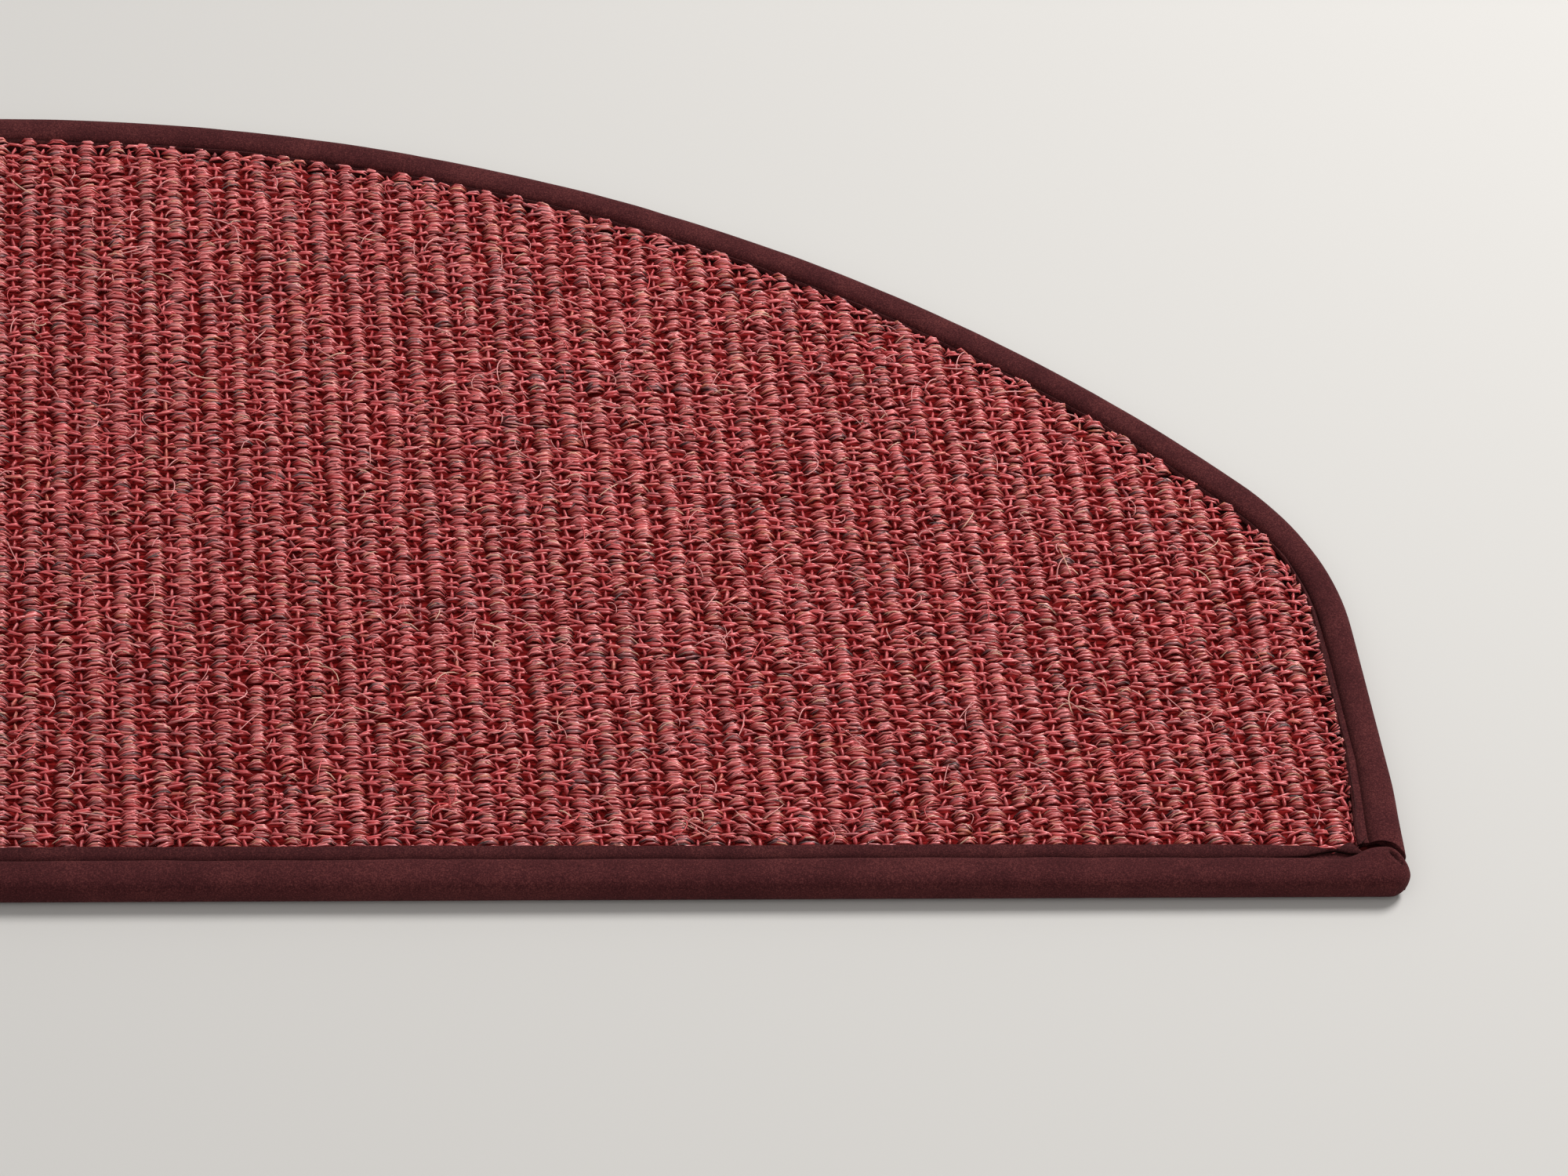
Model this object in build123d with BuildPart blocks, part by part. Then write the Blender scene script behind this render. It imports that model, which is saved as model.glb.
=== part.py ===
from build123d import *
import os

# Half-round stair tread mat: a panel of woven sisal on a latex back, cut straight in front and
# round behind, with its raw edge bound in soft textile tape. One strip of tape runs up one side,
# round the back curve and down the other side. A second strip runs along the front and is folded
# round both front corners, over the ends of the first.
# Millimetres. X is the width, +Y points from the straight front edge to the back curve, +Z is up.
# The origin is the centre of the bounding box, on the floor.

# The mat's outline
mat_width = 650.0
mat_depth = 280.0
side_straight = 88.0  # straight stretch of each side, before its shoulder begins
shoulder_radius = 80.0  # rounded shoulder between a side and the back curve
corner_back = 1.2  # how far a folded front corner stops short of the side tape's outer face

# The sisal panel
weave_height = 6.5  # floor to the crowns of the loops
pressed_height = 5.7  # floor to the weave where the tape is sewn down on it
panel_inset = 2.2  # outer face of the side tape, or the front edge, to the cut edge of the weave
panel_top_round = 2.0
panel_corner_round = 4.0
weave_edge_round = 0.4  # where the weave rises beside the tape

# The binding tape, doubled over into a roll along the edge
tape_thickness = 0.9
tape_fit = 0.1  # clearance between the tape and what it wraps
roll_width = 8.4
roll_height = 7.8
roll_crown_round = 3.2
roll_foot_round = 2.0
front_band = 4.6  # flat tape that shows between the front roll and the weave
side_band = 2.2  # the same along the sides and the back curve
tape_leg = 13.0  # tape turned under, from the outer face inward

# The folded front corners, where the roll swells over the end of the side tape
fold_swell = 3.2  # how much wider the roll is at its widest
fold_length = 17.0  # outer end to where the swelling starts
fold_crest = 6.0  # outer end to the widest place
fold_end_width = 9.6  # width of the roll at its outer end
fold_corner_round = 4.5
fold_end_round = 3.0

# Places worked out from the sizes above
front_y = -mat_depth / 2
apex_y = mat_depth / 2
side_x = mat_width / 2
end_x = side_x - corner_back
shoulder_y = front_y + side_straight
side_lap = roll_width + side_band
front_lap = roll_width + front_band
rim_floor = tape_thickness + tape_fit
band_floor = pressed_height + tape_fit
band_top = band_floor + tape_thickness
band_end = side_x - side_lap - tape_fit
leg_end = end_x - roll_foot_round

# The back curve is the arc through the apex that both shoulders run into
shoulder_x = side_x - shoulder_radius
rise = apex_y - shoulder_y
back_radius = (shoulder_x**2 + rise**2 - shoulder_radius**2) / (2 * (rise - shoulder_radius))
back_centre = Vector(0, apex_y - back_radius)
toward_shoulder = (Vector(shoulder_x, shoulder_y) - back_centre).normalized()


def half_round(inset, front_inset=0.0, corner_round=0.0):
    """The mat's outline, drawn in from the side tape's outer face and from the front edge."""
    joint = back_centre + toward_shoulder * (back_radius - inset)
    with BuildSketch() as outline:
        with BuildLine():
            side = Line((side_x - inset, front_y + front_inset), (side_x - inset, shoulder_y))
            shoulder = TangentArc(side @ 1, joint, tangent=side % 1)
            TangentArc(shoulder @ 1, (0, apex_y - inset), tangent=shoulder % 1)
            mirror(about=Plane.YZ)
            Line((inset - side_x, front_y + front_inset), side @ 0)
        make_face()
        if corner_round > 0:
            fillet(outline.vertices().group_by(Axis.Y)[0], corner_round)
    return outline.sketch


def front_roll(clearance=0.0):
    """The front roll seen from above, with its two swollen, folded ends."""
    inner_y = front_y + roll_width
    start = Vector(end_x - fold_length, inner_y)
    crest = Vector(end_x - fold_crest, inner_y + fold_swell)
    with BuildSketch() as outline:
        with BuildLine():
            run = Line((0, inner_y), start)
            flare = TangentArc(start, (start + crest) / 2, tangent=run % 1)
            swell = TangentArc(flare @ 1, crest, tangent=flare % 1)
            tuck = TangentArc(swell @ 1, (end_x, front_y + fold_end_width), tangent=run % 1)
            Line(tuck @ 1, (end_x, front_y))
            Line((end_x, front_y), (0, front_y))
            mirror(about=Plane.YZ)
        make_face()
        front_corners = outline.vertices().group_by(Axis.Y)[0].sort_by(Axis.X)
        fillet((front_corners[0], front_corners[-1]), fold_corner_round)
        left_corners = outline.vertices().group_by(Axis.X)[0].sort_by(Axis.Y)
        right_corners = outline.vertices().group_by(Axis.X)[-1].sort_by(Axis.Y)
        fillet((left_corners[-1], right_corners[-1]), fold_end_round)
        if clearance > 0:
            offset(amount=clearance)
    return outline.sketch


def panel_rim(clearance=0.0):
    """The panel's pressed rim, with a soft upper edge, or the space for it inside the tape."""
    with BuildPart() as rim:
        with BuildSketch(Plane.XY.offset(rim_floor - clearance)):
            edge_inset = panel_inset - clearance
            add(half_round(edge_inset, edge_inset, panel_corner_round + clearance))
        extrude(amount=pressed_height - rim_floor + 2 * clearance)
        fillet(rim.edges().group_by(Axis.Z)[-1], panel_top_round + clearance)
    return rim.part


rim_space = panel_rim(tape_fit)

# The woven sisal: pressed thin round its rim, full height where it shows, flat on the floor
with BuildPart() as sisal_panel:
    add(panel_rim())
    with BuildSketch(Plane.XY.offset(pressed_height)):
        add(half_round(side_lap + tape_fit, front_lap + tape_fit))
        add(front_roll(tape_fit), mode=Mode.SUBTRACT)
    extrude(amount=weave_height - pressed_height)
    fillet(sisal_panel.edges().group_by(Axis.Z)[-1], weave_edge_round)
    with BuildSketch():
        add(half_round(tape_leg + tape_fit, tape_leg + tape_fit))
    extrude(amount=rim_floor)
sisal_panel.part.label = "sisal_panel"

# The tape round the sides and the back, cut back where the front tape folds over its ends
with BuildPart() as binding_curved:
    with BuildSketch():
        add(half_round(0))
        add(half_round(roll_width), mode=Mode.SUBTRACT)
    extrude(amount=roll_height)
    top_edges = binding_curved.edges().group_by(Axis.Z)[-1]
    fillet(top_edges.filter_by(lambda edge: edge.center().Y > front_y + tape_fit), roll_crown_round)
    outer_foot = binding_curved.edges().group_by(Axis.Z)[0].sort_by(Axis.Y)[-1]
    fillet(outer_foot, roll_foot_round)
    with BuildSketch(Plane.XY.offset(band_floor)):
        add(half_round(roll_width / 2))
        add(half_round(side_lap), mode=Mode.SUBTRACT)
    extrude(amount=tape_thickness)
    with BuildSketch():
        add(half_round(roll_width / 2))
        add(half_round(tape_leg), mode=Mode.SUBTRACT)
    extrude(amount=tape_thickness)
    add(rim_space, mode=Mode.SUBTRACT)
    with BuildSketch():
        add(front_roll(tape_fit))
        with Locations((0, front_y)):
            Rectangle(mat_width, 2 * (fold_end_width + tape_fit))
    extrude(amount=roll_height, mode=Mode.SUBTRACT)
    with BuildSketch():
        with Locations((0, front_y)):
            Rectangle(mat_width, 2 * (tape_leg + tape_fit))
    extrude(amount=rim_floor, mode=Mode.SUBTRACT)
binding_curved.part.label = "binding_curved"

# The tape along the front, with its plump folded ends
with BuildPart() as binding_front:
    with BuildSketch():
        add(front_roll())
    extrude(amount=roll_height)
    fillet(binding_front.edges().group_by(Axis.Z)[-1], roll_crown_round)
    fillet(binding_front.edges().group_by(Axis.Z)[0], roll_foot_round)
    with BuildSketch(Plane.XY.offset(band_floor)):
        with Locations((0, front_y + roll_width / 2)):
            Rectangle(2 * band_end, front_lap - roll_width / 2, align=(Align.CENTER, Align.MIN))
    extrude(amount=tape_thickness)
    with BuildSketch():
        with Locations((0, front_y + roll_width / 2)):
            Rectangle(2 * leg_end, tape_leg - roll_width / 2, align=(Align.CENTER, Align.MIN))
    extrude(amount=tape_thickness)
    add(rim_space, mode=Mode.SUBTRACT)
binding_front.part.label = "binding_front"

os.makedirs("parts", exist_ok=True)
export_step(sisal_panel.part, "parts/sisal_panel.step")
export_step(binding_curved.part, "parts/binding_curved.step")
export_step(binding_front.part, "parts/binding_front.step")
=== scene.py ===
import math

import bmesh
import bpy
import numpy as np
from mathutils import Matrix, Vector


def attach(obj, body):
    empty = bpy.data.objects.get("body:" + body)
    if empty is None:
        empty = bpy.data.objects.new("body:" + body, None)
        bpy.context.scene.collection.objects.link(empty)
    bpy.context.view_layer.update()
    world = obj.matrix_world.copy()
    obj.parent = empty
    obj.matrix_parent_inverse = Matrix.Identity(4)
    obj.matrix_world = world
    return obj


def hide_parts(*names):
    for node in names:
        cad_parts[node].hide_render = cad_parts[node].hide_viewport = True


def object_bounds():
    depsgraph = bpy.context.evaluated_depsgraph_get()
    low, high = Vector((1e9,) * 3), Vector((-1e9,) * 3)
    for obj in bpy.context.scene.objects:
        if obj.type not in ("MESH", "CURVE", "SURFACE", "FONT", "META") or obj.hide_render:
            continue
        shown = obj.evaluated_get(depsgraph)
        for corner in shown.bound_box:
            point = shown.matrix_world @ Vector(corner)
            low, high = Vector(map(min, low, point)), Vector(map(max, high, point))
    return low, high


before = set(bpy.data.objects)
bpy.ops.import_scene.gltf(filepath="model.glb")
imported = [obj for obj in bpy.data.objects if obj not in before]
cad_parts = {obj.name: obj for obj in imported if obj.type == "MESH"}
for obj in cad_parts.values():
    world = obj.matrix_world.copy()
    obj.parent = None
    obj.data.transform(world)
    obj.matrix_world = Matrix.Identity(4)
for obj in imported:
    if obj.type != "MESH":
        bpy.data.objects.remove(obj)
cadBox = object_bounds()
mm = 0.001

# The half-round outline from above: the straight front edge is at -Y, the round back at +Y
outline = {
    "width": cadBox[1][0] - cadBox[0][0],
    "depth": cadBox[1][1] - cadBox[0][1],
    "cornerBack": 1.2 * mm,       # folded corners stop short of the side tape's outer face
    "sideStraight": 88.0 * mm,
    "shoulderRadius": 80.0 * mm,
}
frontY = -outline["depth"] / 2
apexY = outline["depth"] / 2
sideX = outline["width"] / 2
endX = sideX - outline["cornerBack"]
shoulderY = frontY + outline["sideStraight"]
shoulderSize = outline["shoulderRadius"]
shoulderX = sideX - shoulderSize
rise = apexY - shoulderY
backRadius = (shoulderX**2 + rise**2 - shoulderSize**2) / (2 * (rise - shoulderSize))
backY = apexY - backRadius
shoulderAngle = math.atan2(shoulderY - backY, shoulderX)


def edgeDistance(x, y):
    # how far points lie inside the side tape's outer face
    ax = np.abs(x)
    fromBack = backRadius - np.hypot(ax, y - backY)
    vx, vy = ax - shoulderX, y - shoulderY
    inside = np.minimum(sideX - ax, fromBack)
    onShoulder = (vx > 0) & (vy > 0) & (np.arctan2(vy, vx) < shoulderAngle)
    return np.where(onShoulder, shoulderSize - np.hypot(vx, vy), inside)


def outlinePath(startY, step):
    # points and inward normals from the right front corner round to the left one
    sideRun = max(2, round((shoulderY - startY) / step))
    shoulderRun = max(2, round(shoulderSize * shoulderAngle / step))
    backAngle = math.pi / 2 - shoulderAngle
    backRun = max(2, round(backRadius * backAngle / step))
    half = []
    for i in range(sideRun):
        half.append((sideX, startY + (shoulderY - startY) * i / sideRun, 0.0))
    for i in range(shoulderRun):
        turn = shoulderAngle * i / shoulderRun
        half.append((shoulderX + shoulderSize * math.cos(turn),
                     shoulderY + shoulderSize * math.sin(turn), turn))
    for i in range(backRun + 1):
        turn = shoulderAngle + backAngle * i / backRun
        half.append((backRadius * math.cos(turn), backY + backRadius * math.sin(turn), turn))
    right = np.array(half)
    left = right[-2::-1] * (-1, 1, -1) + (0, 0, math.pi)
    whole = np.concatenate([right, left])
    inward = -np.stack([np.cos(whole[:, 2]), np.sin(whole[:, 2])], 1)
    return whole[:, :2], inward


def addToScene(thing):
    bpy.context.scene.collection.objects.link(thing)
    return thing


def buildMesh(name, points, quads, triangles=()):
    quads = np.asarray(quads, np.int32).reshape(-1, 4)
    triangles = np.asarray(triangles, np.int32).reshape(-1, 3)
    mesh = bpy.data.meshes.new(name)
    points = np.asarray(points, np.float32).reshape(-1, 3)
    mesh.vertices.add(len(points))
    mesh.vertices.foreach_set("co", points.ravel())
    corners = np.concatenate([quads.ravel(), triangles.ravel()])
    sizes = np.concatenate([np.full(len(quads), 4), np.full(len(triangles), 3)])
    starts = np.concatenate([[0], np.cumsum(sizes)[:-1]])
    mesh.loops.add(len(corners))
    mesh.loops.foreach_set("vertex_index", corners)
    mesh.polygons.add(len(sizes))
    mesh.polygons.foreach_set("loop_start", starts.astype(np.int32))
    mesh.polygons.foreach_set("loop_total", sizes.astype(np.int32))
    mesh.polygons.foreach_set("use_smooth", np.full(len(sizes), True))
    mesh.update(calc_edges=True)
    mesh.validate()
    return addToScene(bpy.data.objects.new(name, mesh))


def skinQuads(rows, around):
    # quads between closed rows of points
    one = np.arange(around)
    two = (one + 1) % around
    return np.concatenate([
        np.stack([r * around + one, r * around + two, (r + 1) * around + two, (r + 1) * around + one], 1)
        for r in range(rows - 1)])


def addColour(piece, name, colours):
    layer = piece.data.color_attributes.new(name=name, type="FLOAT_COLOR", domain="POINT")
    rgba = np.concatenate([colours, np.ones((len(colours), 1))], 1)
    layer.data.foreach_set("color", rgba.astype(np.float32).ravel())


def addMap(piece, name, places):
    layer = piece.data.uv_layers.new(name=name)
    layer.uv.foreach_set("vector", places.astype(np.float32).ravel())


def addFlatMap(piece):
    # a map for baking, as seen from straight above, filling the square
    mesh = piece.data
    points = np.empty(len(mesh.vertices) * 3, np.float32)
    mesh.vertices.foreach_get("co", points)
    flat = points.reshape(-1, 3)[:, :2]
    low, high = flat.min(0), flat.max(0)
    index = np.empty(len(mesh.loops), np.int32)
    mesh.loops.foreach_get("vertex_index", index)
    addMap(piece, "OFBake", 0.01 + 0.98 * (flat[index] - low) / (high - low))


# The camera stands in front and above, turned to the mat's right half
camera = {
    "place": (-0.0139, -0.9499, 0.8888),
    "pitchDown": 0.7585,          # angles in radians
    "turnRight": 0.2117,
    "roll": 0.1519,
    "lens": 118.36,
    "sensorWidth": 36.0,
    "nearest": 0.05,
    "farthest": 30.0,
}


def makeCamera():
    data = bpy.data.cameras.new("camera")
    data.lens = camera["lens"]
    data.sensor_width = camera["sensorWidth"]
    data.clip_start = camera["nearest"]
    data.clip_end = camera["farthest"]
    eye = addToScene(bpy.data.objects.new("camera", data))
    eye.matrix_world = (
        Matrix.Translation(camera["place"])
        @ Matrix.Rotation(-camera["turnRight"], 4, "Z")
        @ Matrix.Rotation(math.pi / 2 - camera["pitchDown"], 4, "X")
        @ Matrix.Rotation(camera["roll"], 4, "Z"))
    bpy.context.scene.camera = eye


makeCamera()
print("camera placed")


# Shader helpers
def setInputs(node, inputs):
    # a socket is linked to another node's output, or gets a plain value
    for socket, value in inputs.items():
        if isinstance(value, bpy.types.NodeSocket):
            node.id_data.links.new(value, node.inputs[socket])
        else:
            node.inputs[socket].default_value = value


def addNode(tree, kind, inputs=None, **settings):
    node = tree.nodes.new("ShaderNode" + kind)
    for name, value in settings.items():
        setattr(node, name, value)
    setInputs(node, inputs or {})
    return node


def colourRamp(tree, value, stops):
    # stops are (position, colour) pairs, of which a new ramp already has the first and the last
    ramp = addNode(tree, "ValToRGB", {"Fac": value})
    elements = ramp.color_ramp.elements
    for position, colour in stops[1:-1]:
        elements.new(position)
    for element, (position, colour) in zip(elements, stops):
        element.position, element.color = position, (*colour, 1)
    return ramp.outputs["Color"]


def objectNoise(tree, scale, roughness=0.5, stretch=None):
    place = addNode(tree, "TexCoord").outputs["Object"]
    if stretch:
        place = addNode(tree, "VectorMath", {0: place, 1: stretch}, operation="MULTIPLY").outputs[0]
    return addNode(tree, "TexNoise", {"Vector": place, "Scale": scale, "Detail": 2.0,
                                      "Roughness": roughness}).outputs["Fac"]


def newMaterial(name):
    material = bpy.data.materials.new(name)
    material.use_nodes = True
    tree = material.node_tree
    tree.nodes.clear()
    shader = addNode(tree, "BsdfPrincipled")
    addNode(tree, "OutputMaterial", {"Surface": shader.outputs["BSDF"]})
    return material, tree, shader


# Where the fibre noise turns a strand dark, pale or spotted, and where painted shade and a painted
# highlight fall along it: each pair runs from no effect to full
fibreLook = {
    "dark": (0.56, 0.36),
    "pale": (0.52, 0.70),
    "fleck": (0.64, 0.68),
    "glint": (0.68, 0.72),
    "tipShade": (0.08, 0.31),          # these go by the distance from the strand's middle: the tip entry is painted shade, the crown entry a painted highlight
    "crown": (0.16, 0.0),
    "shine": (0.34, 0.12),
    # how far the painted highlight pales the crowns
    "crownPaintedHighlight": 0.35,
}
fibreTints = ("Pale", "Dark", "Deep", "Teal", "Straw")
fibreAmounts = ("Along", "Around", "Contrast", "Flecks", "Ends")


def fibreGrainGroup():
    # fibres that follow each strand: the map runs along it in U and round it in V
    group = bpy.data.node_groups.new("fibreGrain", "ShaderNodeTree")
    for names, way, kind in ((("Colour", *fibreTints), "INPUT", "Color"), (fibreAmounts, "INPUT", "Float"),
                             (("Colour",), "OUTPUT", "Color"), (("Height", "Shine"), "OUTPUT", "Float")):
        for name in names:
            group.interface.new_socket(name, in_out=way, socket_type="NodeSocket" + kind)
    given = group.nodes.new("NodeGroupInput").outputs
    result = group.nodes.new("NodeGroupOutput")
    place = addNode(group, "UVMap", uv_map="strandMap").outputs["UV"]
    stretch = addNode(group, "CombineXYZ", {"X": given["Along"], "Y": given["Around"]}).outputs[0]

    def noise(shift, scale, detail):
        scaled = addNode(group, "VectorMath", {0: place, 1: stretch, 2: (shift, shift, 0)},
                         operation="MULTIPLY_ADD")
        return addNode(group, "TexNoise", {"Vector": scaled.outputs[0], "Scale": scale, "Detail": detail},
                       noise_dimensions="2D").outputs["Fac"]

    def grows(value, name):
        start, full = fibreLook[name]
        return addNode(group, "MapRange", {"Value": value, "From Min": start,
                                           "From Max": full}).outputs["Result"]

    def maths(operation, one, two):
        return addNode(group, "Math", {0: one, 1: two}, operation=operation).outputs[0]

    def mixed(factor, one, two, blend="MIX"):
        return addNode(group, "Mix", {"Factor": factor, "A": one, "B": two},
                       data_type="RGBA", blend_type=blend).outputs["Result"]

    fibres = noise(0.0, 1.0, 2.0)
    flecks = noise(37.0, 0.8, 1.0)
    glints = noise(81.0, 0.9, 1.0)
    shade = maths("MULTIPLY", grows(fibres, "dark"), given["Contrast"])
    colour = mixed(shade, given["Colour"], given["Dark"], "MULTIPLY")
    glow = maths("MULTIPLY", grows(fibres, "pale"), given["Contrast"])
    colour = mixed(glow, colour, given["Pale"])
    spotted = maths("MULTIPLY", grows(flecks, "fleck"), given["Flecks"])
    colour = mixed(spotted, colour, given["Teal"])
    golden = maths("MULTIPLY", grows(glints, "glint"), given["Flecks"])
    colour = mixed(golden, colour, given["Straw"])
    # painted shade darkens the tips where they dive between the rows, and a painted highlight pales the
    # crowns
    along = addNode(group, "SeparateXYZ", {0: place}).outputs["X"]
    fromMiddle = maths("ABSOLUTE", maths("SUBTRACT", maths("FRACT", along, 0.0), 0.5), 0.0)
    tipShade = maths("MULTIPLY", grows(fromMiddle, "tipShade"), given["Ends"])
    colour = mixed(tipShade, colour, given["Deep"], "MULTIPLY")
    crown = maths("MULTIPLY", grows(fromMiddle, "crown"), fibreLook["crownPaintedHighlight"])
    colour = mixed(maths("MULTIPLY", crown, given["Ends"]), colour, given["Pale"])
    setInputs(result, {"Colour": colour, "Height": fibres, "Shine": grows(fromMiddle, "shine")})
    return group


fibreGrain = fibreGrainGroup()


def yarnMaterial(name, settings):
    material, tree, shader = newMaterial(name)
    inputs = {"Colour": addNode(tree, "VertexColor", layer_name="yarnColour").outputs["Color"]}
    for socket in fibreAmounts:
        inputs[socket] = settings[socket.lower()]
    for socket in fibreTints:
        inputs[socket] = (*settings[socket.lower()], 1)
    grain = addNode(tree, "Group", inputs, node_tree=fibreGrain)
    bump = addNode(tree, "Bump", {"Strength": settings["bump"], "Distance": settings["bumpDepth"],
                                  "Height": grain.outputs["Height"]})
    polish = addNode(tree, "MapRange", {"Value": grain.outputs["Shine"], "To Min": 1.0,
                                        "To Max": settings["roughness"]})
    setInputs(shader, {
        "Base Color": grain.outputs["Colour"], "Normal": bump.outputs["Normal"],
        "Roughness": polish.outputs["Result"], "Specular IOR Level": settings["specular"],
        "Specular Tint": (*settings["glint"], 1)})
    return material


# The binding tape: rolled double along the edge, and flat where it is sewn down on the weave
tape = {
    "rollWidth": 8.4 * mm,
    "rollHeight": 7.8 * mm,
    "foot": 2.9 * mm,             # rounding at the floor
    "waist": 4.2 * mm,            # the roll's crown starts at this height
    "sideBand": 2.2 * mm,         # flat tape between the roll and the weave
    "frontBand": 4.6 * mm,
    "bandTop": 6.8 * mm,
    "thickness": 0.9 * mm,
    "leg": 13.0 * mm,             # tape turned under
    "groove": 6.0 * mm,           # floor to the bottom of the crease beside the roll
    "plainGroove": 5.9 * mm,      # the same on the folded ends, where no band lies beside the roll
    "crownSquare": 0.84,          # below 1 the section is squarer than a circle
    "frontSquare": 0.62,
    "sideSquare": 0.92,
    "lipPaintedShade": 0.3,              # share of the colour left by painted shade, at the bottom of the crease and on the flat band
    "bandPaintedShade": 0.7,
    "ripple": 0.16 * mm,          # how far the sewn edges wander
    "seed": 5,
}
fold = {
    "start": 17.0 * mm,           # from the outer end to where the roll begins to swell
    "crest": 6.0 * mm,
    "swell": 3.2 * mm,
    "lift": 0.6 * mm,             # how much higher the fold is than the roll
    "liftSpread": 6.5 * mm,
    "endWidth": 9.6 * mm,
    "endRound": 5.0 * mm,
    "middle": 4.6 * mm,           # height that the rounded end closes on
    "gap": 1.5 * mm,              # dark gap over the end of the side tape
}
# Just behind the fold the side tape lies wide, and the front band is drawn down in a pucker
corner = {
    "sideWide": 2.3 * mm,
    "sideWideTo": (15 * mm, 48 * mm),         # from the front edge, where it narrows
    "covered": 1.3 * mm,                      # further back the weave covers some of it
    "coveredFrom": (25 * mm, 85 * mm),
    "peak": (0.6 * mm, 14.0 * mm, 1.7 * mm),  # size, distance from the outer end, spread
    "dip": (1.8 * mm, 18.6 * mm, 3.0 * mm),
    "slack": (0.5 * mm, 25 * mm, 6 * mm),
    "wedge": 17.5 * mm,                       # the pucker opens a dark wedge under the roll's lip
    "wedgeDeep": 1.8 * mm,
    "wedgeUnder": 1.6 * mm,
}
sideLap = tape["rollWidth"] + tape["sideBand"]
frontLap = tape["rollWidth"] + tape["frontBand"]


def smoothStep(value, low, high):
    t = np.clip((value - low) / (high - low), 0, 1)
    return t * t * (3 - 2 * t)


def hump(value, size, middle, spread):
    return size * np.exp(-((value - middle) / spread)**2)


def sideSpread(y):
    # how much wider or narrower than usual the side tape shows
    fromFront = y - frontY
    covered = corner["covered"] * smoothStep(fromFront, *corner["coveredFrom"])
    return corner["sideWide"] * (1 - smoothStep(fromFront, *corner["sideWideTo"])) - covered


def frontPucker(fromEnd):
    # the band stands up in a peak beside the fold, and is drawn down in a dip next to that
    peak, dip, slack = (hump(fromEnd, *corner[name]) for name in ("peak", "dip", "slack"))
    return peak - dip - slack


def frontEdge(x):
    # where the flat front band ends and the weave begins
    return frontY + frontLap + frontPucker(endX - np.abs(x))


# The woven sisal: ribs of crowned beads, a ladder of stitches between the ribs
weave = {
    "ribPitch": 7.6 * mm,
    "rowPitch": 4.2 * mm,
    "firstRow": 0.42,             # in rows, behind the front tape
    "groundTop": 4.5 * mm,
    "crown": 6.8 * mm,            # floor to the top of an average bead
    "beadEnd": 4.2 * mm,          # where a bead's ends dive into the ground
    "halfSpan": 3.1 * mm,
    "strands": 6,
    "strandGap": 0.66 * mm,
    "strandRadius": 0.455 * mm,
    "strandSides": 3,
    "flankShare": 0.30,           # share of a bead's height that even its outermost strands get
    "ribWander": 0.20 * mm,       # from here to the colours: how uneven it all is
    "rowWander": 0.22 * mm,
    "ribSize": 0.05,
    "beadSize": 0.09,
    "beadSlip": 0.18 * mm,
    "beadRise": 0.25 * mm,
    "beadLean": 0.13,
    "strandSlip": 0.18 * mm,
    "strandSlide": 0.30 * mm,
    "strandRise": 0.20 * mm,
    "strandLean": 0.11,
    "salmon": (0.86, 0.115, 0.120),
    "rose": (1.0, 0.33, 0.32),
    "brick": (0.44, 0.016, 0.015),
    "teal": (0.060, 0.105, 0.115),
    "straw": (0.90, 0.48, 0.24),
    "tealShare": (1.4, 0.35, 0.92),   # where in the drift a run starts, how softly, and its most
    "strawShare": (1.6, 0.6, 0.7),
    "sideReach": 4.0 * mm,        # beads that start this far under the tape are moved out from it
    "frontReach": 2.2 * mm,
    "overTape": 0.4 * mm,         # how far strands lie over the tape's sewn edge
    "seed": 11,
    "pieces": 5,
}
chance = np.random.default_rng(weave["seed"])


def uneven(name, shape):
    # random differences, of the size that the weave's list gives
    return chance.normal(0, weave[name], shape)


def softened(values, width):
    # random numbers that drift along the last axis, back to unit spread
    kernel = np.hanning(width + 2)[1:-1]
    kernel /= np.sqrt((kernel**2).sum())
    return np.apply_along_axis(lambda line: np.convolve(line, kernel, "same"), -1, values)


def yarnColours(shape, runLength):
    # one colour per strand: mostly salmon, now and then a run of teal or straw along the row
    drift = softened(chance.normal(size=shape), runLength)
    second = softened(chance.normal(size=shape), 3)
    shade = (0.62 + 0.30 * second + 0.30 * chance.normal(size=shape))[..., None].clip(0, 1)
    base = np.array(weave["brick"]) * (1 - shade) + np.array(weave["salmon"]) * shade
    lit = (second * 0.5 + chance.normal(size=shape) * 0.7)[..., None]
    base = base + (np.array(weave["rose"]) - base) * (lit - 0.2).clip(0, 0.9)
    for tint, way in (("teal", 1), ("straw", -1)):
        start, softness, most = weave[tint + "Share"]
        share = ((way * drift - start) / softness).clip(0, most)[..., None]
        base = base * (1 - share) + np.array(weave[tint]) * share
    return base * chance.uniform(0.8, 1.12, shape)[..., None]


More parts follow.
